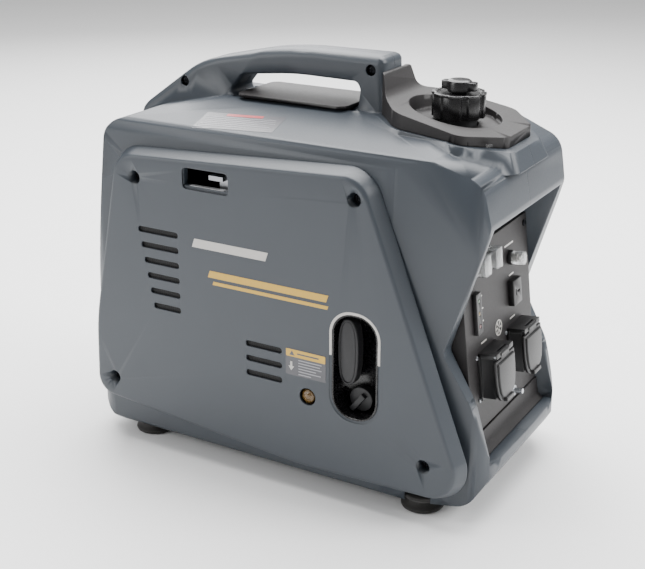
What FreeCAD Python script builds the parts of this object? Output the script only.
import FreeCAD, Part
import math
import os
import re
from types import SimpleNamespace

import Sketcher
from FreeCAD import Placement, Rotation, Vector

# Suitcase-style petrol inverter generator.
# +X points to the control panel, -Y to the recoil starter, +Z up; the origin lies on the
# ground under the middle of the case.  All sizes are in millimetres.

doc = FreeCAD.newDocument("Generator")
sheet = doc.addObject("Spreadsheet::Sheet", "Sizes")

SIZES = [
    # case
    ("body_length", 514, "case, rear face to chin"),
    ("body_width", 280, "case, over both side covers"),
    ("case_top", 412, "crown of the case beside the handle"),
    ("case_bottom", 9, "lower rim of the case"),
    ("wall", 3, "wall of the moulded shells"),
    ("cover_depth", 18, "how far a side cover stands off the shell"),
    ("cover_wall", 2.5, "wall of the side covers"),
    ("seam_gap", 0.2, "parting line between the two shells"),
    ("handle_rise", 58, "top of the handle above the case crown"),
    ("handle_gap_rise", 29, "top of the finger gap above the case crown"),
    ("handle_setback", 174, "front of the handle behind the chin"),
    ("handle_width", 46, "handle, side to side"),
    # panel
    ("panel_setback", 37.6, "panel centre behind the chin"),
    ("panel_centre", 191, "panel centre above the ground"),
    ("panel_width", 180, "control panel width"),
    ("panel_height", 200, "control panel height"),
    ("panel_thickness", 3, "control panel sheet"),
    ("panel_rim", 24, "rim of the panel behind its face"),
    ("panel_lean", 6.8, "degrees that the panel leans back"),
    ("socket_pitch", 80, "between the two mains sockets"),
    ("socket_drop", 42, "socket centres below the panel centre"),
    ("socket_flange", 50, "square flange of a mains socket"),
    ("socket_depth", 17, "socket body in front of the panel"),
    ("socket_bore", 19.5, "radius of the round plug recess"),
    ("lid_thickness", 4, "flap lid of a mains socket"),
    ("hinge_pin_radius", 1.5, "pin of a flap lid"),
    ("running_gap", 0.3, "clearance of a moving piece"),
    ("rocker_width", 12, "rocker switch"),
    ("rocker_height", 18, "rocker switch"),
    ("rocker_pitch", 30, "between the two rocker switches"),
    ("button_radius", 4.5, "breaker push button"),
    # fuel
    ("filler_setback", 97, "filler axis behind the chin"),
    ("filler_radius", 20, "neck of the tank"),
    ("fuel_cap_radius", 31, "fuel cap over its ribs"),
    ("fuel_cap_height", 26, "fuel cap without its vent knob"),
    ("vent_knob_radius", 13, "vent knob on the cap"),
    ("tray_width", 146, "black filler surround"),
    ("tank_width", 178, "fuel tank"),
    # starter
    ("pulley_setback", 153.5, "recoil pulley behind the chin"),
    ("crank_height", 135, "crankshaft axis above the ground"),
    ("pulley_radius", 45, "rope line on the recoil pulley"),
    ("rope_radius", 2, "starter rope"),
    ("pocket_length", 121, "recoil pocket, top to bottom"),
    ("pocket_width", 55, "recoil pocket, front to rear"),
    ("pocket_depth", 28, "recoil pocket behind the cover face"),
    ("grip_length", 76, "recoil grip"),
    ("grip_width", 25, "recoil grip"),
    ("knob_radius", 13.5, "stop, run and choke knob"),
    ("bulb_radius", 8, "primer bulb"),
    # engine
    ("bore_radius", 24, "engine cylinder bore"),
    ("rotor_radius", 70, "alternator rotor"),
    ("fan_radius", 80, "cooling fan"),
    ("shaft_radius", 10, "crankshaft journal"),
    # feet and fasteners
    ("foot_radius", 24, "rubber foot"),
    ("foot_height", 20, "rubber foot under the base pan"),
    ("foot_span", 192, "between the feet, side to side"),
    ("front_foot_setback", 79, "front feet behind the chin"),
    ("rear_foot_setback", 69, "rear feet ahead of the rear face"),
    ("pan_thickness", 3, "base pan sheet"),
    ("screw_radius", 5, "head of a case screw"),
    ("screw_hole_radius", 8, "recess around a case screw"),
]

for row, (alias, value, meaning) in enumerate(SIZES, start=1):
    sheet.set("A%d" % row, meaning)
    sheet.set("B%d" % row, str(value))
    sheet.setAlias("B%d" % row, alias)
doc.recompute()
NAMES = {alias for alias, value, meaning in SIZES}
S = SimpleNamespace(**{name: float(getattr(sheet, name)) for name in NAMES})

# Places worked out from the driving sizes.
FRONT = S.body_length / 2
REAR = -FRONT
SIDE = S.body_width / 2
SKIN = SIDE - S.cover_depth
TOP = S.case_top
HANDLE_TOP = TOP + S.handle_rise
PIVOT_X = FRONT - S.pulley_setback
FILLER_X = FRONT - S.filler_setback

# The same places as expressions for objects bound to the sheet.
FRONT_X = "body_length / 2"
PANEL_X = "body_length / 2 - panel_setback"
PULLEY_X = "body_length / 2 - pulley_setback"
NODES = []


def bound(text):
    """Turn the plain size names of an expression into references to the sheet."""
    def cell(found):
        word = found.group(0)
        return "Sizes." + word if word in NAMES else word

    return re.sub(r"[a-z_]\w*", cell, str(text))


def bind(item, name, text):
    item.setExpression(name, bound(text))


def place(item, base=(0, 0, 0), rotation=Rotation()):
    """Put an object at a base of three expressions."""
    item.Placement = Placement(Vector(), rotation)
    for axis, text in zip("xyz", base):
        bind(item, ".Placement.Base." + axis, text)
    return item


def node(item, label):
    """Name a finished sub-part; its label is its file name."""
    item.Label = label
    NODES.append(item)
    return item


TURN = {"x": Rotation(Vector(0, 0, 1), Vector(1, 0, 0)), "y": Rotation(Vector(0, 0, 1), Vector(0, 1, 0)),
        "z": Rotation()}


def cylinder(name, radius, height, base, along="z"):
    item = doc.addObject("Part::Cylinder", name)
    bind(item, "Radius", radius)
    bind(item, "Height", height)
    return place(item, base, TURN[along])


def block(name, sizes, base):
    """A box whose base is the middle of its lowest face."""
    item = doc.addObject("Part::Box", name)
    for prop, text in zip(("Length", "Width", "Height"), sizes):
        bind(item, prop, text)
    middle = ("(%s) - (%s) / 2" % (base[0], sizes[0]), "(%s) - (%s) / 2" % (base[1], sizes[1]), base[2])
    return place(item, middle)


def cut(name, base, tool):
    item = doc.addObject("Part::Cut", name)
    item.Base = base
    item.Tool = tool
    return item


def fuse(name, items):
    item = doc.addObject("Part::MultiFuse", name)
    item.Shapes = items
    return item


def feature(label, shape, placement=Placement()):
    """A moulded piece whose shape is worked out from the sheet's values."""
    item = doc.addObject("Part::Feature", label)
    item.Shape = shape.removeSplitter() if len(shape.Solids) == 1 else shape
    item.Placement = placement
    return node(item, label)


def profile(body, role, corners, name):
    """A closed sketch through corners of two expressions, on one of the body's origin planes."""
    sketch = body.newObject("Sketcher::SketchObject", name)
    plane = [item for item in body.Origin.OriginFeatures if item.Role == role][0]
    sketch.AttachmentSupport = [(plane, "")]
    sketch.MapMode = "FlatFace"
    count = len(corners)
    points = []
    for u, v in corners:
        sketch.setExpression("AttachmentOffset.Base.x", bound(u))
        sketch.setExpression("AttachmentOffset.Base.y", bound(v))
        doc.recompute()
        points.append(Vector(sketch.AttachmentOffset.Base.x, sketch.AttachmentOffset.Base.y, 0))
    sketch.setExpression("AttachmentOffset.Base.x", None)
    sketch.setExpression("AttachmentOffset.Base.y", None)
    sketch.AttachmentOffset = Placement()
    for index in range(count):
        sketch.addGeometry(Part.LineSegment(points[index], points[(index + 1) % count]), False)
    for index in range(count):
        sketch.addConstraint(Sketcher.Constraint("Coincident", index, 2, (index + 1) % count, 1))
    for index, (u, v) in enumerate(corners):
        for kind, text, value in (("DistanceX", u, points[index].x), ("DistanceY", v, points[index].y)):
            number = sketch.addConstraint(Sketcher.Constraint(kind, index, 1, value))
            sketch.setExpression("Constraints[%d]" % number, bound(text))
    return sketch


def turned(label, corners, base=(0, 0, 0), rotation=Rotation()):
    """A body of revolution about its own Z axis; corners are (radius, height)."""
    body = doc.addObject("PartDesign::Body", label)
    sketch = profile(body, "XZ_Plane", corners, label + "_profile")
    turn = body.newObject("PartDesign::Revolution", label + "_turn")
    turn.Profile = sketch
    turn.ReferenceAxis = (sketch, ["V_Axis"])
    turn.Angle = 360
    return place(body, base, rotation)


# ---- outlines with rounded corners, for the moulded pieces ----

def wire(corners, spot):
    """Closed wire through (u, v, radius) corners; spot turns (u, v) into a point in space."""
    edges = []
    ends = []
    count = len(corners)
    for index, (u, v, radius) in enumerate(corners):
        here = Vector(u, v, 0)
        back = (Vector(*corners[index - 1][:2], 0) - here).normalize()
        on = (Vector(*corners[(index + 1) % count][:2], 0) - here).normalize()
        half = back.getAngle(on) / 2
        reach = radius / math.tan(half)
        middle = here + (back + on).normalize() * (radius / math.sin(half) - radius)
        ends.append((here + back * reach, middle, here + on * reach))
    for index, (start, middle, end) in enumerate(ends):
        after = ends[(index + 1) % count][0]
        edges.append(Part.Arc(spot(start), spot(middle), spot(end)).toShape())
        if (after - end).Length > 1e-6:
            edges.append(Part.LineSegment(spot(end), spot(after)).toShape())
    return Part.Wire(edges)


def inset(corners, depth, least=0.6):
    """The same outline moved inwards by depth; corners run anticlockwise."""
    lines = []
    count = len(corners)
    for index in range(count):
        a = Vector(*corners[index][:2], 0)
        along = (Vector(*corners[(index + 1) % count][:2], 0) - a).normalize()
        lines.append((a + Vector(-along.y, along.x, 0) * depth, along))
    result = []
    for index in range(count):
        (a, d), (b, f) = lines[index - 1], lines[index]
        cross = d.x * f.y - d.y * f.x
        t = ((b - a).x * f.y - (b - a).y * f.x) / cross
        point = a + d * t
        change = -depth if cross > 0 else depth
        result.append((point.x, point.y, max(corners[index][2] + change, least)))
    return result


def in_side(y):
    return lambda p: Vector(p.x, y, p.y)


def in_front(x):
    return lambda p: Vector(x, p.x, p.y)


def in_plan(z):
    return lambda p: Vector(p.x, p.y, z)


def side_prism(corners, low, high):
    return Part.Face(wire(corners, in_side(low))).extrude(Vector(0, high - low, 0))


def front_prism(corners, low, high):
    return Part.Face(wire(corners, in_front(low))).extrude(Vector(high - low, 0, 0))


def plan_prism(corners, low, high):
    return Part.Face(wire(corners, in_plan(low))).extrude(Vector(0, 0, high - low))


def tapered(sections):
    """A ruled solid through (corners, spot) sections."""
    return Part.makeLoft([wire(corners, spot) for corners, spot in sections], True, True)


def rectangle(width, height, radius, u=0, v=0):
    a, b = width / 2, height / 2
    return [(u - a, v - b, radius), (u + a, v - b, radius), (u + a, v + b, radius), (u - a, v + b, radius)]


def rod(radius, start, end):
    way = end - start
    return Part.makeCylinder(radius, way.Length, start, way)


def box(x0, x1, y0, y1, z0, z1):
    return Part.makeBox(x1 - x0, y1 - y0, z1 - z0, Vector(x0, y0, z0))


def mirrored(shape):
    return shape.mirror(Vector(), Vector(0, 1, 0))


# ---- the case ----

PANEL_TURN = Rotation(Vector(0, 1, 0), -S.panel_lean)
WAIST = (FRONT - 54, 191)
HOOD_LIP = (FRONT - 11, 331)
CHIN = (FRONT + 1.5, 58)


def case_side():
    """Side silhouette of the case, anticlockwise from the rear bottom corner."""
    return [
        (REAR, S.case_bottom + 6, 44),
        (REAR + 100, S.case_bottom, 150),
        (FRONT - 110, S.case_bottom, 150),
        (FRONT - 22, S.case_bottom + 9, 26),
        (CHIN[0], CHIN[1], 22),
        (FRONT - 22, 136, 60),
        (WAIST[0], WAIST[1], 12),
        (HOOD_LIP[0], HOOD_LIP[1], 16),
        (FRONT - 20, TOP - 36, 26),
        (FRONT - 104, TOP - 6, 60),
        (FRONT - 180, TOP, 100),
        (REAR + 140, TOP, 120),
        (REAR + 90, TOP - 12, 80),
        (REAR + 38, TOP - 24, 30),
        (REAR + 1, 112, 200),
    ]


def case_front():
    """Front silhouette of the case."""
    half = [
        (124, S.case_bottom + 2, 12),
        (SKIN, S.case_bottom + 38, 40),
        (SKIN, TOP - 32, 14),
        (SKIN - 5, TOP - 18, 8),
        (30, TOP + 1, 30),
    ]
    return half + [(-u, v, radius) for u, v, radius in reversed(half)]


def case_plan():
    half = [(REAR - 1, SKIN, 30), (FRONT - 115, SKIN, 120), (FRONT - 3, 105, 24)]
    low = [(u, -v, radius) for u, v, radius in half]
    return low + [(FRONT + 3, 0, 500)] + list(reversed(half))


def case_solid(depth):
    side = side_prism(inset(case_side(), depth), -SIDE, SIDE)
    front = front_prism(inset(case_front(), depth), REAR - 20, FRONT + 20)
    plan = plan_prism(inset(case_plan(), depth), -20, TOP + 60)
    return side.common(front).common(plan)


def panel_point(across, up, out=0):
    """A point in space from a place on the panel: across is Y, up runs along its lean."""
    lean = math.radians(S.panel_lean)
    x = FRONT - S.panel_setback - up * math.sin(lean) + out * math.cos(lean)
    z = S.panel_centre + up * math.cos(lean) + out * math.sin(lean)
    return Vector(x, across, z)


def recess_side(grow):
    """Side outline of the panel recess, from the chin lip to the hood's underside."""
    foot = panel_point(0, -S.panel_height / 2, -S.panel_rim - 1)
    head = panel_point(0, S.panel_height / 2, -S.panel_rim - 1)
    lip = CHIN[1] + 9
    return [
        (foot.x, foot.z - 1 - grow, 2),
        (foot.x + 22, lip - 4 - grow, 12),
        (FRONT - 17, lip - 9 - grow, 5),
        (FRONT - 14, lip - grow, 2),
        (FRONT + 40, lip - grow, 4),
        (FRONT + 40, HOOD_LIP[1] - 4 + grow, 4),
        (HOOD_LIP[0] - 4, HOOD_LIP[1] - 4 + grow, 4),
        (head.x + 4, head.z + 1 + grow, 12),
        (head.x, head.z + 2 + grow, 0.6),
    ]


def recess(grow):
    half = S.panel_width / 2 + 4 + grow
    return side_prism(recess_side(grow), -half, half)


HANDLE_REAR = REAR + 10
HANDLE_FRONT = FRONT - S.handle_setback


def handle_side():
    return [
        (HANDLE_REAR, TOP - 60, 4),
        (HANDLE_FRONT + 6, TOP - 60, 4),
        (HANDLE_FRONT, HANDLE_TOP + 1, 8),
        (HANDLE_REAR + 200, HANDLE_TOP, 400),
        (HANDLE_REAR + 90, HANDLE_TOP - 24, 120),
        (HANDLE_REAR + 2, TOP - 28, 24),
    ]


def gap_side():
    """Outline of the finger gap under the handle."""
    roof = TOP + S.handle_gap_rise
    return [
        (HANDLE_REAR + 130, TOP - 1, 6),
        (HANDLE_FRONT - 34, TOP + 0.5, 6),
        (HANDLE_FRONT - 30, roof, 9),
        (HANDLE_REAR + 215, roof + 1, 300),
        (HANDLE_REAR + 150, roof - 6, 14),
    ]


def handle_solid():
    outer = handle_side()
    half = S.handle_width / 2
    round_over = 8
    core = side_prism(outer, -half + round_over, half - round_over)
    edge = tapered([(outer, in_side(half - round_over)), (inset(outer, 2), in_side(half - 2)),
                    (inset(outer, round_over), in_side(half))])
    solid = core.fuse([edge, mirrored(edge)])
    gap = gap_side()
    flare = tapered([(gap, in_side(half - 7)), (inset(gap, -6), in_side(half + 6))])
    return solid, side_prism(gap, -SIDE, SIDE).fuse([flare, mirrored(flare)])


def pedestal_corners(grow):
    """Plan outline of the filler pedestal on the hood."""
    half = S.tray_width / 2 + grow
    return [
        (HANDLE_FRONT - 2 - grow, -30 - grow, 12), (FILLER_X - 42, -half + 6, 30), (FILLER_X + 34, -half, 20),
        (FRONT - 27 + grow, -32 - grow * 0.6, 14), (FRONT - 27 + grow, 32 + grow * 0.6, 14),
        (FILLER_X + 34, half, 20), (FILLER_X - 42, half - 6, 30), (HANDLE_FRONT - 2 - grow, 30 + grow, 12),
    ]


def pedestal_solid(depth=0):
    sloped = [
        (HANDLE_FRONT - 30, TOP - 60, 2), (FRONT + 20, TOP - 60, 2), (FRONT + 20, TOP - 28 - depth, 2),
        (FILLER_X + 20, TOP - 8 - depth, 60), (HANDLE_FRONT - 30, TOP + 2 - depth, 2),
    ]
    body = tapered([(pedestal_corners(18 - depth), in_plan(TOP - 40)),
                    (pedestal_corners(4 - depth), in_plan(TOP - 8)),
                    (pedestal_corners(2 - depth), in_plan(TOP + 4))])
    return body.common(side_prism(sloped, -SIDE, SIDE))


COVER_FACE = [
    (REAR + 66, TOP - 55, 28), (REAR + 23, 150, 300), (REAR + 19, 57, 22), (40, 33, 400),
    (FRONT - 11, 38, 32), (FRONT - 138, TOP - 39, 30),
]


def cover_outline(grow):
    return inset(COVER_FACE, -grow)


def cover_screw_spots():
    return [(REAR + 91, TOP - 78), (FRONT - 145, TOP - 62), (REAR + 45, 80), (FRONT - 60, 72)]


POCKET_Z = S.crank_height + S.pulley_radius - 14.5
POCKET = rectangle(S.pocket_width, S.pocket_length, 25, PIVOT_X + 11, POCKET_Z)
BULB = (PIVOT_X - 46.5, 119)
WINDOW = rectangle(60, 24, 5, REAR + 187, TOP - 69)
REAR_SLOTS = [(REAR + 93 + 3.4 * n, REAR + 148, 275 - 17.9 * n) for n in (5, 4, 3, 2, 1, 0)]
LOW_SLOTS = [(PIVOT_X - 125.5, PIVOT_X - 78.5, 166 - 17.5 * n) for n in range(3)]
SLOT_HEIGHT = 7


def slot_cut(x0, x1, z):
    corners = rectangle(x1 - x0, SLOT_HEIGHT, SLOT_HEIGHT / 2 - 0.1, (x0 + x1) / 2, z)
    return side_prism(corners, -SIDE - 5, -SIDE + S.cover_depth - 1)


def cover_shell():
    """A dished side cover for the -Y side, open towards the case."""
    depth = S.cover_depth
    outer = tapered([
        (cover_outline(8), in_side(-SKIN - 0.1)), (cover_outline(1.5), in_side(-SIDE + 3)),
        (cover_outline(0), in_side(-SIDE + 0.9)), (cover_outline(-3), in_side(-SIDE)),
    ])
    wall = S.cover_wall
    inner = tapered([
        (cover_outline(8 - wall), in_side(-SKIN + 1)), (cover_outline(1 - wall), in_side(-SIDE + wall + 1)),
        (cover_outline(-1 - wall), in_side(-SIDE + wall)),
    ])
    solid = outer.cut(inner)
    bosses = []
    for x, z in cover_screw_spots():
        bosses.append(rod(S.screw_hole_radius + 2.5, Vector(x, -SIDE + 0.5, z), Vector(x, -SKIN - 0.3, z)))
    solid = solid.fuse(bosses)
    for x, z in cover_screw_spots():
        solid = solid.cut(rod(S.screw_hole_radius, Vector(x, -SIDE - 5, z), Vector(x, -SIDE + depth - 6, z)))
        solid = solid.cut(rod(2.6, Vector(x, -SIDE - 5, z), Vector(x, -SKIN + 5, z)))
    return solid


def make_case():
    hull = case_solid(0)
    hollow = case_solid(S.wall)
    grip, finger_gap = handle_solid()
    grown = recess(S.wall).common(box(panel_point(0, 0).x - 45, FRONT + 60, -SIDE, SIDE, 0, TOP))
    hollow = hollow.fuse(pedestal_solid(S.wall)).cut(grown)
    shell = hull.fuse([grip, pedestal_solid()]).cut(finger_gap).cut(hollow).cut(recess(0))
    inner_grip = side_prism(inset(handle_side(), 4), -S.handle_width / 2 + 4, S.handle_width / 2 - 4)
    grip_core = inner_grip.cut(side_prism(inset(gap_side(), -4), -SIDE, SIDE))
    shell = shell.cut(grip_core.cut(box(REAR, FRONT, -SIDE, SIDE, 0, TOP - 2)))
    # service windows behind the side covers, the open bottom, the filler and plug openings
    window = side_prism(cover_outline(-12), -SIDE, -SKIN + 12)
    ledges = [rod(S.screw_hole_radius + 4, Vector(x, -SIDE, z), Vector(x, -SKIN + 12, z))
              for x, z in cover_screw_spots()]
    window = window.cut(ledges[0].fuse(ledges[1:]))
    shell = shell.cut([window, mirrored(window)])
    shell = shell.cut(plan_prism(rectangle(S.body_length - 70, 196, 1, -4, 0), -10, 30))
    for x in (FRONT - S.front_foot_setback, REAR + S.rear_foot_setback):
        for y in (-S.foot_span / 2, S.foot_span / 2):
            shell = shell.cut(rod(S.foot_radius + 0.8, Vector(x, y, -10), Vector(x, y, S.foot_height + 6)))
    shell = shell.cut(rod(S.filler_radius + 6, Vector(FILLER_X, 0, TOP - 60), Vector(FILLER_X, 0, TOP + 20)))
    shell = shell.cut(plan_prism(rectangle(136, 70, 8, HANDLE_FRONT - 107, 0), TOP - 30, TOP + 3))
    shell = shell.cut(front_prism(rectangle(150, 170, 14, 0, 205), REAR - 10, REAR + 40))
    window = Part.makeBox(60, S.panel_width - 8, S.panel_height - 12)
    window.translate(Vector(-60, -S.panel_width / 2 + 4, -S.panel_height / 2 + 6))
    window.Placement = Placement(panel_point(0, 0), PANEL_TURN).multiply(window.Placement)
    shell = shell.cut(window)
    for x, z in cover_screw_spots():
        hole = rod(1.9, Vector(x, -SIDE, z), Vector(x, -SKIN + 14, z))
        shell = shell.cut([hole, mirrored(hole)])
    for x, z in handle_screw_spots():
        shell = shell.cut(rod(6, Vector(x, -SIDE, z), Vector(x, -S.handle_width / 2 + 7, z)))
        shell = shell.cut(rod(2.2, Vector(x, -SIDE, z), Vector(x, S.handle_width / 2 - 4, z)))
    half = S.seam_gap / 2
    left = shell.common(box(REAR - 10, FRONT + 10, -SIDE - 5, -half, -5, HANDLE_TOP + 9))
    right = shell.common(box(REAR - 10, FRONT + 10, half, SIDE + 5, -5, HANDLE_TOP + 9))
    feature("left_shell", biggest(left))
    feature("right_shell", biggest(right))


def biggest(shape):
    return max(shape.Solids, key=lambda solid: solid.Volume)


def handle_screw_spots():
    return [(HANDLE_REAR + 69, TOP + 8), (HANDLE_FRONT - 16, TOP + 44)]


def make_covers():
    """The recoil side cover, its plainer twin, and the screws that hold the case together."""
    shell = cover_shell()
    vents = [slot_cut(*slot) for slot in REAR_SLOTS]
    start = shell.cut(vents + [slot_cut(*slot) for slot in LOW_SLOTS])
    start = start.cut(side_prism(POCKET, -SIDE - 5, -SKIN))
    groove = side_prism(inset(POCKET, -3), -SIDE - 5, -SIDE + 1)
    start = start.cut(groove)
    start = start.cut(side_prism(WINDOW, -SIDE - 5, -SKIN))
    bulb_hole = rod(S.bulb_radius + 2, Vector(BULB[0], -SIDE - 5, BULB[1]), Vector(BULB[0], -SKIN, BULB[1]))
    start = start.cut(bulb_hole)
    feature("side_cover", start)
    front_vents = [slot_cut(FRONT - 175 - 3 * n, FRONT - 125 - 7 * n, 300 - 17.9 * n) for n in range(8)]
    feature("service_cover", mirrored(shell.cut(vents + front_vents)))
    trim = side_prism(inset(POCKET, -2.8), -SIDE, -SIDE + 1).cut(side_prism(inset(POCKET, 0), -SIDE - 5, 0))
    feature("pocket_trim", trim.common(box(REAR, FRONT, -SIDE - 5, 0, POCKET_Z + 10, TOP)))
    screws = []
    for x, z in cover_screw_spots():
        seat = -SIDE + S.cover_depth - 6
        screw = rod(S.screw_radius, Vector(x, seat - 5, z), Vector(x, seat, z))
        screw = screw.cut(rod(2, Vector(x, seat - 6, z), Vector(x, seat - 2, z)))
        screw = screw.fuse(rod(1.8, Vector(x, seat - 1, z), Vector(x, seat + 18, z)))
        screws += [screw, mirrored(screw)]
    for x, z in handle_screw_spots():
        seat = -S.handle_width / 2 + 7
        screw = rod(S.screw_radius, Vector(x, seat - 5, z), Vector(x, seat, z))
        screw = screw.cut(rod(2, Vector(x, seat - 6, z), Vector(x, seat - 2, z)))
        screws.append(screw.fuse(rod(1.8, Vector(x, seat - 1, z), Vector(x, seat + 20, z))))
    feature("case_screws", Part.makeCompound(screws))


def make_lid_and_tray():
    """The plug access lid in the handle gap and the black surround of the filler."""
    plate = plan_prism(rectangle(140, 82, 10, HANDLE_FRONT - 108, 0), TOP + 2.2, TOP + 5.2)
    skirt = plan_prism(rectangle(134, 66, 7, HANDLE_FRONT - 107, 0), TOP - 4, TOP + 3)
    skirt = skirt.cut(plan_prism(rectangle(130, 62, 5, HANDLE_FRONT - 107, 0), TOP - 5, TOP + 2.2))
    feature("plug_access_lid", plate.fuse(skirt))
    riser = HANDLE_FRONT + S.running_gap
    outline = pedestal_corners(0)
    outline[0] = (riser, -27, 3)
    outline[-1] = (riser, 27, 3)
    side = [
        (riser - 5, TOP - 3, 1), (FILLER_X + 20, TOP - 13, 60), (FRONT + 20, TOP - 33, 2),
        (FRONT + 20, TOP - 14, 2),
        (FILLER_X + 28, TOP, 60), (FILLER_X - 48, TOP + 15, 50), (riser + 10, TOP + 20, 14),
        (riser + 4, HANDLE_TOP - 14, 3), (riser - 5, HANDLE_TOP - 13, 1),
    ]
    floor = [
        (riser - 30, TOP - 60, 1), (FRONT + 20, TOP - 60, 1), (FRONT + 20, TOP - 27.8, 2),
        (FILLER_X + 20, TOP - 7.8, 60), (riser - 30, TOP + 2.2, 1),
    ]
    tray = plan_prism(outline, TOP - 60, HANDLE_TOP + 5).common(side_prism(side, -SIDE, SIDE))
    under = plan_prism(inset(outline, -40), -5, HANDLE_TOP + 9)
    tray = tray.cut(side_prism(floor, -SIDE, SIDE).common(under))
    reach = S.handle_width / 2 + S.running_gap
    tray = tray.cut(side_prism(inset(handle_side(), -S.running_gap), -reach, reach))
    bowl = Part.makeCone(46, 54, 60, Vector(FILLER_X - 2, 0, TOP - 20), Vector(0, 0, 1))
    bowl = bowl.cut(side_prism([(u, v + 1.7, radius) for u, v, radius in floor], -SIDE, SIDE))
    neck_hole = rod(S.filler_radius + 2, Vector(FILLER_X, 0, 0), Vector(FILLER_X, 0, HANDLE_TOP))
    tray = tray.cut(bowl).cut(neck_hole)
    feature("tank_tray", biggest(tray))


def make_fuel():
    """Tank with its neck, the cap and the vent knob on the cap."""
    tank_top = TOP - 34
    middle = FILLER_X - 50
    outer = plan_prism(rectangle(172, S.tank_width, 34, middle, 0), tank_top - 74, tank_top)
    outer = outer.makeFillet(10, [edge for edge in outer.Edges if abs(edge.BoundBox.ZLength) < 0.01])
    neck_top = TOP + 12
    outer = outer.fuse(rod(S.filler_radius, Vector(FILLER_X, 0, tank_top - 4), Vector(FILLER_X, 0, neck_top)))
    inner = plan_prism(rectangle(168, S.tank_width - 4, 32, middle, 0), tank_top - 72, tank_top - 2)
    inner = inner.makeFillet(8, [edge for edge in inner.Edges if abs(edge.BoundBox.ZLength) < 0.01])
    bore = rod(S.filler_radius - 2, Vector(FILLER_X, 0, tank_top - 6), Vector(FILLER_X, 0, neck_top + 1))
    feature("fuel_tank", outer.cut(inner).cut(bore))
    low = TOP + 1.5
    top = low + S.fuel_cap_height
    cap = rod(S.fuel_cap_radius - 3, Vector(FILLER_X, 0, low), Vector(FILLER_X, 0, top))
    ribs = []
    for number in range(8):
        angle = math.radians(45 * number + 22.5)
        way = Vector(math.cos(angle), math.sin(angle), 0)
        rib = rod(7, Vector(FILLER_X, 0, low + 2) + way * (S.fuel_cap_radius - 7),
                  Vector(FILLER_X, 0, top - 2) + way * (S.fuel_cap_radius - 7))
        ribs.append(rib)
    cap = cap.fuse(ribs)
    cap = cap.cut(rod(S.filler_radius + 1, Vector(FILLER_X, 0, low - 1), Vector(FILLER_X, 0, neck_top + 2.5)))
    cap = cap.fuse(rod(6, Vector(FILLER_X, 0, top - 1), Vector(FILLER_X, 0, top + 3)))
    feature("fuel_cap", cap)
    gasket = rod(S.filler_radius, Vector(FILLER_X, 0, neck_top + 0.2), Vector(FILLER_X, 0, neck_top + 2.3))
    gasket = gasket.cut(rod(S.filler_radius - 5, Vector(FILLER_X, 0, 0), Vector(FILLER_X, 0, HANDLE_TOP)))
    feature("cap_gasket", gasket)
    knob = rod(S.vent_knob_radius, Vector(FILLER_X, 0, top + 0.4), Vector(FILLER_X, 0, top + 13))
    lug = plan_prism(rectangle(3 * S.vent_knob_radius, 11, 4, FILLER_X, 0), top + 2, top + 11)
    knob = knob.fuse(lug)
    knob = knob.cut(rod(6.3, Vector(FILLER_X, 0, top), Vector(FILLER_X, 0, top + 3.4)))
    feature("cap_vent_knob", knob)


# ---- the control panel; its pieces are built flat, with X out of the panel and Z up it ----

def on_panel(item, label):
    place(item, (PANEL_X, "0", "panel_centre"), PANEL_TURN)
    return node(item, label)


SOCKET_Y = {"left": "-socket_pitch / 2", "right": "socket_pitch / 2"}
SOCKET_Z = "-socket_drop"
ROCKERS = {"eco": ("-40 - rocker_pitch / 2", "82"), "run": ("-40 + rocker_pitch / 2", "82")}
BREAKER = ("36", "63")


def make_panel():
    face = block("panel_face", ("panel_rim", "panel_width", "panel_height"),
                 ("-panel_rim / 2", "0", "-panel_height / 2"))
    hollow = block("panel_hollow", ("panel_rim", "panel_width - 6", "panel_height - 6"),
                   ("-panel_rim / 2 - panel_thickness", "0", "-panel_height / 2 + 3"))
    holes = []
    for side, across in SOCKET_Y.items():
        name = "socket_hole_" + side
        holes.append(cylinder(name, "socket_bore + 3", "20", ("-10", across, SOCKET_Z), "x"))
    for name, (across, up) in ROCKERS.items():
        holes.append(block(name + "_hole", ("20", "rocker_width + 1", "rocker_height + 1"),
                           ("0", across, "%s - (rocker_height + 1) / 2" % up)))
    holes.append(cylinder("breaker_hole", "button_radius + 1.5", "20", ("-10", *BREAKER), "x"))
    holes.append(block("dc_hole", ("20", "19", "25"), ("0", "38", "11")))
    holes.append(block("led_hole", ("20", "9", "39"), ("0", "-62", "11.5")))
    holes.append(cylinder("ground_hole", "3.2", "20", ("-10", "14", "-86"), "x"))
    for number, (across, up) in enumerate(panel_corner_spots()):
        holes.append(cylinder("corner_hole%d" % number, "2.2", "20", ("-10", across, up), "x"))
    on_panel(cut("panel_cut", cut("panel_tray", face, hollow), fuse("panel_holes", holes)), "control_panel")


def panel_corner_spots():
    across = ("-panel_width / 2 + 8", "panel_width / 2 - 8")
    up = ("-panel_height / 2 + 12", "panel_height / 2 - 10")
    return [(u, v) for u in across for v in up]


def make_panel_screws():
    parts = []
    for number, (across, up) in enumerate(panel_corner_spots()):
        head = cylinder("panel_screw_head%d" % number, "4", "2.4", ("0", across, up), "x")
        shank = cylinder("panel_screw_shank%d" % number, "1.8", "12", ("-12", across, up), "x")
        parts.append(fuse("panel_screw%d" % number, [head, shank]))
    group = doc.addObject("Part::Compound", "panel_screw_group")
    group.Links = parts
    on_panel(group, "panel_screws")


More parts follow.
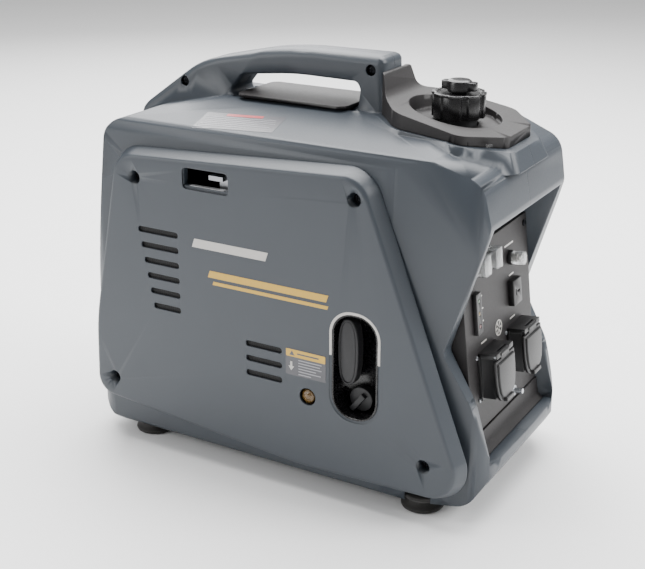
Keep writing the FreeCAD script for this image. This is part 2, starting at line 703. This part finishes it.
def make_sockets():
    """Round earthed sockets with a square flange, and their sprung flap lids."""
    pins = []
    for side, across in SOCKET_Y.items():
        name = "socket_" + side
        flange = block(name + "_flange", ("3", "socket_flange", "socket_flange"),
                       ("1.5", across, SOCKET_Z + " - socket_flange / 2"))
        body = block(name + "_body", ("socket_depth", "2 * socket_bore + 6", "2 * socket_bore + 6"),
                     ("socket_depth / 2", across, SOCKET_Z + " - socket_bore - 3"))
        back = cylinder(name + "_back", "socket_bore + 2.6", "28", ("-28", across, SOCKET_Z), "x")
        shelf = block(name + "_shelf", ("socket_depth + 4", "2 * socket_bore + 6", "5.5"),
                      ("socket_depth / 2 + 2", across, SOCKET_Z + " + socket_bore + 3.1"))
        bore = cylinder(name + "_bore", "socket_bore", "40", ("-14", across, SOCKET_Z), "x")
        knuckle_room = block(name + "_room", ("10", "22 + 2 * running_gap", "11"),
                             ("socket_depth + 3.5", across, SOCKET_Z + " + 21.7"))
        pin_hole = cylinder(name + "_pin_hole", "hinge_pin_radius", "60",
                            ("socket_depth + 2", across + " - 30", SOCKET_Z + " + 25"), "y")
        tools = [bore, knuckle_room, pin_hole]
        for number, offset in enumerate(("-9.5", "9.5")):
            tools.append(cylinder("%s_contact%d" % (name, number), "2.4", "12",
                                  ("-26", "%s + (%s)" % (across, offset), SOCKET_Z), "x"))
        solid = fuse(name + "_solid", [flange, body, back, shelf])
        on_panel(cut(name + "_cut", solid, fuse(name + "_tools", tools)), "ac_socket_" + side)
        plate = block(name + "_plate", ("lid_thickness", "socket_flange + 1", "49.5"),
                      ("socket_depth + running_gap + lid_thickness / 2", across, SOCKET_Z + " - 28.5"))
        knuckle = cylinder(name + "_knuckle", "3", "22",
                           ("socket_depth + 2", across + " - 11", SOCKET_Z + " + 25"), "y")
        web = block(name + "_web", ("3", "22", "6"), ("socket_depth + 2.8", across, SOCKET_Z + " + 19.5"))
        lid_bore = cylinder(name + "_lid_bore", "hinge_pin_radius + 0.08", "60",
                            ("socket_depth + 2", across + " - 30", SOCKET_Z + " + 25"), "y")
        lid = fuse(name + "_lid", [plate, knuckle, web])
        on_panel(cut(name + "_lid_cut", lid, lid_bore), "socket_lid_" + side)
        pins.append(cylinder(name + "_pin", "hinge_pin_radius", "44",
                             ("socket_depth + 2", across + " - 22", SOCKET_Z + " + 25"), "y"))
    on_panel(fuse("lid_pin_pair", pins), "lid_pins")


def make_panel_controls():
    dc_front = block("dc_front", ("7", "23", "29"), ("3.5", "38", "9"))
    dc_back = block("dc_back", ("20", "18", "24"), ("-10", "38", "11.5"))
    slots = [block("dc_slot_a", ("14", "2", "7"), ("2", "34", "20")),
             block("dc_slot_b", ("14", "7", "2"), ("2", "41", "22.5"))]
    on_panel(cut("dc_cut", fuse("dc_solid", [dc_front, dc_back]), fuse("dc_slots", slots)), "dc_socket")
    strip = block("led_front", ("5", "13", "45"), ("2.5", "-62", "8.5"))
    strip_back = block("led_back", ("10", "8", "38"), ("-5", "-62", "12"))
    windows = []
    for number in range(3):
        spot = ("1", "-62", "17 + %d * 14" % number)
        windows.append(cylinder("led_window%d" % number, "2.6", "6", spot, "x"))
    strip = fuse("led_solid", [strip, strip_back])
    on_panel(cut("led_cut", strip, fuse("led_windows", windows)), "led_strip")
    frames = []
    boots = []
    for name, (across, up) in ROCKERS.items():
        rim = block(name + "_rim", ("2.5", "rocker_width + 4", "rocker_height + 4"),
                    ("1.25", across, up + " - rocker_height / 2 - 2"))
        box_back = block(name + "_back", ("16", "rocker_width + 0.8", "rocker_height + 0.8"),
                         ("-8", across, up + " - rocker_height / 2 - 0.4"))
        room = block(name + "_room", ("20", "rocker_width - 1", "rocker_height - 1"),
                     ("-1", across, up + " - rocker_height / 2 + 0.5"))
        frames.append(cut(name + "_frame", fuse(name + "_housing", [rim, box_back]), room))
        key = block(name + "_key", ("9", "rocker_width - 2", "rocker_height - 3.4"),
                    ("0.5", across, up + " - rocker_height / 2 + 1.7"))
        edge = cylinder(name + "_edge", "rocker_height / 2 - 1.7", "rocker_width - 2",
                        ("0", across + " - rocker_width / 2 + 1", up), "y")
        common = doc.addObject("Part::Common", name + "_rounded")
        common.Base = key
        common.Tool = edge
        lever = block(name + "_lever", ("3", "rocker_width - 2", "5"), ("6", across, up + " + 0.5"))
        on_panel(fuse(name + "_solid", [common, lever]), name + "_rocker")
        skin = block(name + "_boot_skin", ("13", "rocker_width + 3.6", "rocker_height + 3.6"),
                     ("2.5 + 6.5", across, up + " - rocker_height / 2 - 1.8"))
        inside = block(name + "_boot_room", ("13", "rocker_width + 1.6", "rocker_height + 1.6"),
                       ("1.5 + 6.5", across, up + " - rocker_height / 2 - 0.8"))
        boots.append(cut(name + "_boot", skin, inside))
    for parts, label in ((frames, "rocker_frames"), (boots, "rocker_boots")):
        group = doc.addObject("Part::Compound", label + "_pair")
        group.Links = parts
        on_panel(group, label)
    nut = doc.addObject("Part::Prism", "breaker_hexagon")
    nut.Polygon = 6
    nut.Circumradius = 9
    nut.Height = 5
    place(nut, ("0", *BREAKER), TURN["x"])
    barrel = cylinder("breaker_barrel", "button_radius + 1.4", "20", ("-15", *BREAKER), "x")
    bore = cylinder("breaker_bore", "button_radius + running_gap", "30", ("-12", *BREAKER), "x")
    on_panel(cut("breaker_nut_cut", fuse("breaker_nut_solid", [nut, barrel]), bore), "breaker_nut")
    stem = cylinder("button_stem", "button_radius", "17", ("-6", *BREAKER), "x")
    tip = cylinder("button_tip", "button_radius - 1.5", "13", ("0", *BREAKER), "x")
    on_panel(fuse("button_solid", [stem, tip]), "breaker_button")
    boot = cylinder("boot_skin", "7.5", "13", ("5", *BREAKER), "x")
    boot_room = cylinder("boot_room", "6.3", "12", ("4.9", *BREAKER), "x")
    on_panel(cut("boot_cut", boot, boot_room), "breaker_boot")
    bolt = cylinder("ground_bolt", "3", "26", ("-10", "14", "-86"), "x")
    washer = cylinder("ground_washer", "7", "1.5", ("0", "14", "-86"), "x")
    hexagon = doc.addObject("Part::Prism", "ground_hexagon")
    hexagon.Polygon = 6
    hexagon.Circumradius = 6.4
    hexagon.Height = 5
    place(hexagon, ("1.5", "14", "-86"), TURN["x"])
    on_panel(fuse("ground_solid", [bolt, washer, hexagon]), "ground_terminal")


def make_scoop():
    """The black scoop between the foot of the panel and the chin."""
    lip = CHIN[1] + 9
    foot = panel_point(0, -S.panel_height / 2, 0)
    side = [
        (foot.x - 1.5, foot.z - 2, 0.5), (foot.x + 1, lip + 1, 8), (FRONT - 15.8, lip - 4.5, 0.8),
        (FRONT - 14.8, lip - 1.5, 0.6), (foot.x + 4, lip + 4, 8), (foot.x + 1.2, foot.z - 2, 0.5),
    ]
    half = S.panel_width / 2 + 3.5
    plate = side_prism(side, -half, half)
    feature("panel_scoop", plate)


def make_inverter():
    """Potted inverter with cooling fins that face the fan."""
    depth, width, height = 26, 150, 176
    body = block("inverter_body", (depth, width, height), (FRONT_X + " - 86", "0", "50"))
    fins = []
    for number in range(11):
        fins.append(block("inverter_fin%d" % number, ("16", "2.4", height),
                          (FRONT_X + " - 106", "-70 + 14 * %d" % number, "50")))
    node(fuse("inverter_solid", [body] + fins), "inverter_unit")


# ---- recoil starter ----

GRIP_Z = "crank_height + pulley_radius"


def make_starter():
    line_z = S.crank_height + S.pulley_radius
    liner = side_prism(inset(POCKET, 0.2), -SIDE + 0.5, -SIDE + S.pocket_depth)
    liner = liner.cut(side_prism(inset(POCKET, 2.2), -SIDE, -SIDE + S.pocket_depth - 2))
    liner = liner.cut(rod(S.rope_radius + 1.5, Vector(PIVOT_X, -SIDE, line_z), Vector(PIVOT_X, 0, line_z)))
    knob = (PIVOT_X + 10.5, S.crank_height - 12)
    liner = liner.cut(rod(3.4, Vector(knob[0], -SIDE, knob[1]), Vector(knob[0], 0, knob[1])))
    feature("pocket_liner", liner)

    handle = rectangle(S.grip_width, S.grip_length, S.grip_width / 2 - 0.3, PIVOT_X, line_z)
    front = -SIDE + 5
    grip = tapered([(inset(handle, 3), in_side(front)), (inset(handle, 0.8), in_side(front + 1.5)),
                    (handle, in_side(front + 4)), (handle, in_side(front + 11)),
                    (inset(handle, 2), in_side(front + 14))])
    grip = grip.fuse(rod(6, Vector(PIVOT_X, front + 13, line_z), Vector(PIVOT_X, front + 18, line_z)))
    feature("recoil_grip", grip)
    rope = rod(S.rope_radius, Vector(PIVOT_X, front + 18, line_z), Vector(PIVOT_X, -6, line_z))
    feature("starter_rope", rope)

    turn = TURN["x"]
    hub_bore = "8 + 0.1"
    turned_pulley = turned("recoil_pulley", [
        (hub_bore, "-6"), ("pulley_radius + 5", "-6"), ("pulley_radius + 5", "-4"),
        ("pulley_radius - rope_radius - 0.3", "-3"), ("pulley_radius - rope_radius - 0.3", "3"),
        ("pulley_radius + 5", "4"), ("pulley_radius + 5", "6"), (hub_bore, "6")],
        (PULLEY_X, "0", "crank_height"), turn)
    node(turned_pulley, "recoil_pulley")
    node(turned("recoil_spring", [("14", "6.6"), ("40", "6.6"), ("40", "12"), ("14", "12")],
                (PULLEY_X, "0", "crank_height"), turn), "recoil_spring")
    housing = turned("recoil_cup", [
        ("0", "-7"), ("8", "-7"), ("8", "13"), ("69", "13"), ("69", "-17"), ("fan_radius + 4", "-17"),
        ("fan_radius + 4", "-42"), ("fan_radius + 7", "-42"), ("fan_radius + 7", "-14"), ("72", "-14"),
        ("72", "16"), ("0", "16")], (PULLEY_X, "0", "crank_height"), turn)
    hole = cylinder("rope_eye", "rope_radius + 1.5", "120", (PULLEY_X, "-120", GRIP_Z), "y")
    node(cut("recoil_housing_cut", housing, hole), "recoil_housing")

    x, z = knob
    back = -SIDE + S.pocket_depth
    shape = rod(S.knob_radius, Vector(x, back - 11, z), Vector(x, back - 2.4, z))
    bar = Part.makeBox(6, 6, 23, Vector(-3, 0, -15))
    bar.rotate(Vector(), Vector(0, 1, 0), 38)
    bar.translate(Vector(x, back - 16, z))
    shape = shape.fuse([bar, rod(3, Vector(x, back - 3, z), Vector(x, back + 14, z))])
    feature("engine_knob", shape)
    x, z = BULB
    wall = -SIDE + S.cover_wall
    dome = rod(S.bulb_radius, Vector(x, wall - 0.5, z), Vector(x, wall + 6, z))
    dome = dome.fuse(Part.makeSphere(S.bulb_radius, Vector(x, wall + 0.2 + S.bulb_radius - 2.5, z)))
    dome = dome.common(box(x - 20, x + 20, -SIDE + 0.3, wall + 6, z - 20, z + 20))
    dome = dome.fuse(rod(S.bulb_radius + 4, Vector(x, wall + 6, z), Vector(x, wall + 9, z)))
    feature("primer_bulb", dome)
    high = TOP - 63
    x = PIVOT_X - 161.5
    lever = box(x - 2, x + 10, -SKIN - 4, -SKIN - 2, TOP - 150, high)
    tab = box(x - 10, x + 8, -SKIN - 13, -SKIN - 2, high - 5, high)
    feature("choke_lever", lever.fuse(tab))


# ---- engine and alternator, along the crankshaft ----

def turned_on_crank(label, corners, offset):
    """A piece turned about the crankshaft; offset places it ahead of the crank throw."""
    return node(turned(label, corners, (CRANK_X + " + " + offset, "0", "crank_height"), TURN["x"]), label)


CRANK_X = "body_length / 2 - pulley_setback - 130"
CRANK = PIVOT_X - 130


def make_engine():
    z = S.crank_height
    mid = CRANK
    case = box(mid - 52, mid + 48, -56, 56, z - 62, z + 62)
    case = case.makeFillet(10, [edge for edge in case.Edges if edge.BoundBox.XLength > 90])
    case = case.cut(box(mid - 44, mid + 40, -48, 48, z - 54, z + 54))
    boss = rod(S.rotor_radius - 43, Vector(mid + 46, 0, z), Vector(mid + 81, 0, z))
    case = case.fuse(boss)
    case = case.cut(rod(S.shaft_radius + 0.05, Vector(mid - 60, 0, z), Vector(mid + 90, 0, z)))
    case = case.cut(rod(S.bore_radius + 1, Vector(mid, 0, z + 40), Vector(mid, 0, z + 70)))
    for x in (mid - 40, mid + 36):
        for y in (-44, 44):
            case = case.fuse(rod(9, Vector(x, y, z - 70), Vector(x, y, z - 60)))
    case = case.cut(rod(9.2, Vector(mid - 20, -60, z - 38), Vector(mid - 20, -40, z - 38)))
    feature("crankcase", biggest(case))
    mounts = []
    for x in (mid - 40, mid + 36):
        for y in (-44, 44):
            mounts.append(rod(12, Vector(x, y, S.foot_height + S.pan_thickness), Vector(x, y, z - 70)))
    feature("engine_mounts", Part.makeCompound(mounts))

    shaft = rod(S.shaft_radius, Vector(mid - 55, 0, z), Vector(mid - 14, 0, z))
    shaft = shaft.fuse(rod(S.shaft_radius, Vector(mid + 14, 0, z), Vector(mid + 116, 0, z)))
    for x in (mid - 22, mid + 14):
        shaft = shaft.fuse(rod(31, Vector(x, 0, z), Vector(x + 8, 0, z)))
    shaft = shaft.fuse(rod(9, Vector(mid - 15, 0, z + 18), Vector(mid + 15, 0, z + 18)))
    feature("crankshaft", shaft)

    low = z + 63
    barrel = box(mid - 34, mid + 34, -36, 36, low, low + 48)
    for number in range(6):
        barrel = barrel.fuse(box(mid - 42, mid + 42, -46, 46, low + 4 + 8 * number, low + 6.5 + 8 * number))
    barrel = barrel.cut(rod(S.bore_radius, Vector(mid, 0, low - 5), Vector(mid, 0, low + 60)))
    feature("cylinder_block", barrel)
    piston = rod(S.bore_radius - 0.05, Vector(mid, 0, z + 76), Vector(mid, 0, z + 104))
    piston = piston.cut(rod(S.bore_radius - 4, Vector(mid, 0, z + 70), Vector(mid, 0, z + 98)))
    piston = piston.cut(rod(5, Vector(mid - 40, 0, z + 88), Vector(mid + 40, 0, z + 88)))
    feature("piston", piston)
    base = low + 48.5
    head = box(mid - 40, mid + 40, -44, 44, base, base + 26)
    head = head.fuse(box(mid - 30, mid + 34, 2, 42, base + 25, base + 40))
    for number in range(5):
        y = -40 + 9 * number
        head = head.fuse(box(mid - 40, mid + 40, y, y + 2.5, base + 25, base + 36))
    head = head.cut(rod(5.1, Vector(mid, -12, base - 1), Vector(mid, -12, base + 60)))
    head = head.cut(rod(12, Vector(mid, -12, base + 20), Vector(mid, -12, base + 60)))
    head = head.cut(rod(9, Vector(mid, -50, base + 13), Vector(mid, -30, base + 13)))
    feature("cylinder_head", biggest(head))
    node(turned("spark_plug", [("0", "-1"), ("5", "-1"), ("5", "20"), ("9", "20.5"), ("9", "28"), ("5", "30"),
                               ("4.5", "50"), ("2", "52"), ("2", "56"), ("0", "56")],
                (CRANK_X, "-12", "crank_height + 111.5")), "spark_plug")
    node(turned("plug_cap", [("5.2", "36"), ("10", "36"), ("10", "62"), ("7", "66"), ("0", "66"), ("0", "57"),
                             ("5.2", "57")], (CRANK_X, "-12", "crank_height + 111.5")), "plug_cap")

    turned_on_crank("alternator_rotor", [("shaft_radius", "84.5"), ("rotor_radius", "84.5"),
                                         ("rotor_radius", "52"),
                                         ("rotor_radius - 6", "52"), ("rotor_radius - 6", "79"),
                                         ("shaft_radius", "79")], "4")
    turned_on_crank("alternator_stator", [("rotor_radius - 43", "50"), ("rotor_radius - 10", "50"),
                                          ("rotor_radius - 10", "76"), ("rotor_radius - 43", "76")], "4")
    fan = rod(S.fan_radius, Vector(mid + 90, 0, z), Vector(mid + 93, 0, z))
    fan = fan.fuse(rod(26, Vector(mid + 89, 0, z), Vector(mid + 106, 0, z)))
    blades = []
    for number in range(12):
        blade = box(mid + 92, mid + 106, 44, S.fan_radius - 1, z - 1, z + 1)
        blade.rotate(Vector(mid, 60, z), Vector(1, 0, 0), 25)
        blade.rotate(Vector(mid, 0, z), Vector(1, 0, 0), 30 * number)
        blades.append(blade)
    fan = fan.fuse(blades)
    fan = fan.cut(rod(S.shaft_radius, Vector(mid, 0, z), Vector(mid + 120, 0, z)))
    feature("cooling_fan", fan)
    coil = box(mid + 58, mid + 82, -22, 22, z + S.rotor_radius + 1, z + S.rotor_radius + 26)
    feature("ignition_coil", coil)


def make_engine_trim():
    z = S.crank_height
    mid = CRANK
    back = REAR + 34
    muffler = plan_prism(rectangle(mid - 62 - back, 120, 18, (mid - 62 + back) / 2, 12), z + 62, z + 172)
    muffler = muffler.makeFillet(8, [edge for edge in muffler.Edges if abs(edge.BoundBox.ZLength) < 0.01])
    chamber = plan_prism(rectangle(mid - 67 - back, 115, 15.5, (mid - 62 + back) / 2, 12), z + 66, z + 168)
    muffler = muffler.cut(chamber)
    muffler = muffler.fuse(rod(11, Vector(mid - 66, 12, z + 125), Vector(mid - 40.5, 12, z + 125)))
    outlet = rod(15, Vector(REAR + 12, 12, z + 130), Vector(back + 10, 12, z + 130))
    muffler = muffler.fuse(outlet).cut(rod(13, Vector(REAR, 12, z + 130), Vector(back + 4, 12, z + 130)))
    feature("muffler", muffler)
    middle = 205
    grille = box(0, 3, -82, 82, middle - 92, middle + 92)
    rim = rod(26, Vector(-9, 12, z + 130), Vector(9, 12, z + 130))
    for number in range(13):
        slot = middle - 81 + 13 * number
        grille = grille.cut(box(-2, 8, -65, 65, slot, slot + 6).cut(rim))
    grille = grille.cut(rod(17, Vector(-3, 12, z + 130), Vector(8, 12, z + 130)))
    lean = Rotation(Vector(0, 1, 0), 7.85)
    spot = Placement(Vector(REAR + 18.4, 0, middle), lean)
    grille.translate(Vector(0, 0, -middle))
    feature("rear_grille", grille, spot)
    carb = box(mid - 18, mid + 18, -92, -44.3, z + 111.8, z + 142)
    carb = carb.fuse(rod(15, Vector(mid, -70, z + 88), Vector(mid, -70, z + 113)))
    carb = carb.cut(rod(9, Vector(mid, -100, z + 124.5), Vector(mid, -40, z + 124.5)))
    feature("carburettor", carb)
    filter_box = plan_prism(rectangle(86, 56, 10, mid - 66, -86), z + 76, z + 160)
    filter_box = filter_box.fuse(rod(12, Vector(mid - 30, -70, z + 124), Vector(mid - 18, -70, z + 124)))
    feature("air_filter", filter_box)
    oil_cap = rod(9, Vector(mid - 20, -55, z - 38), Vector(mid - 20, -50, z - 38))
    oil_cap = oil_cap.fuse(rod(14, Vector(mid - 20, -66, z - 38), Vector(mid - 20, -56.3, z - 38)))
    oil_cap = oil_cap.fuse(box(mid - 22, mid - 18, -72, -65, z - 50, z - 26))
    oil_cap = oil_cap.fuse(rod(9, Vector(mid - 20, -57, z - 38), Vector(mid - 20, -50, z - 38)))
    oil_cap = oil_cap.fuse(rod(2.5, Vector(mid - 20, -52, z - 38), Vector(mid - 20, -30, z - 38)))
    feature("oil_cap", oil_cap)


# ---- base ----

FOOT_SPOTS = [
    (FRONT_X + " - front_foot_setback", "-foot_span / 2"),
    (FRONT_X + " - front_foot_setback", "foot_span / 2"),
    ("rear_foot_setback - " + FRONT_X, "-foot_span / 2"),
    ("rear_foot_setback - " + FRONT_X, "foot_span / 2"),
]


def make_base():
    rest = "foot_height"
    sheet_top = "foot_height + pan_thickness"
    plate = block("pan_plate", ("body_length - 76", "foot_span + 10", "pan_thickness"), ("-4", "0", rest))
    skirt = block("pan_skirt", ("body_length - 106", "191", "foot_height - case_bottom - wall - 0.3"),
                  ("11", "0", "case_bottom + wall + 0.3"))
    inside = block("pan_inside", ("body_length - 110", "187", "30"), ("11", "0", "foot_height - 30"))
    tools = []
    feet = []
    bolts = []
    for number, (x, y) in enumerate(FOOT_SPOTS):
        name = "foot%d" % number
        corners = [("4.3", "9"), ("8", "9"), ("8", "0"), ("foot_radius - 2", "0"), ("foot_radius", "2"),
                   ("foot_radius", "4.5"), ("foot_radius - 6", "8.5"), ("foot_radius - 6", "11"),
                   ("foot_radius", "15"), ("foot_radius", "foot_height"), ("4.3", "foot_height")]
        feet.append(turned(name, corners, (x, y, "0")))
        tools.append(cylinder(name + "_bolt_hole", "4.3", "40", (x, y, "5")))
        tools.append(cylinder(name + "_room", "foot_radius + 1", "foot_height", (x, y, "0")))
        head = cylinder(name + "_head", "7", "5", (x, y, "3.8"))
        shank = cylinder(name + "_shank", "4", "24", (x, y, "8"))
        nut = cylinder(name + "_nut", "6.5", "6", (x, y, sheet_top))
        bolts.append(fuse(name + "_bolt", [head, shank, nut]))
    pan = fuse("pan_solid", [plate, cut("pan_rim", skirt, inside)])
    pan = cut("pan_hollowed", pan, fuse("pan_tools", tools))
    node(pan, "base_pan")
    for parts, label in ((feet, "rubber_feet"), (bolts, "foot_bolts")):
        group = doc.addObject("Part::Compound", label + "_group")
        group.Links = parts
        node(group, label)


make_case()
make_covers()
make_lid_and_tray()
make_fuel()
make_panel()
make_panel_screws()
make_sockets()
make_panel_controls()
make_scoop()
make_inverter()
make_starter()
make_engine()
make_engine_trim()
make_base()

# ---- check and write ----

doc.recompute()
for item in doc.Objects:
    if "Invalid" in item.State or "Error" in item.State:
        raise RuntimeError("%s did not compute: %s" % (item.Label, item.State))
os.makedirs("parts", exist_ok=True)
for item in NODES:
    if item.Shape.isNull() or not item.Shape.isValid():
        raise RuntimeError("%s has no valid shape" % item.Label)
for item in NODES:
    item.Shape.exportStep(os.path.join("parts", item.Label + ".step"))
print("%d sub-parts written" % len(NODES))
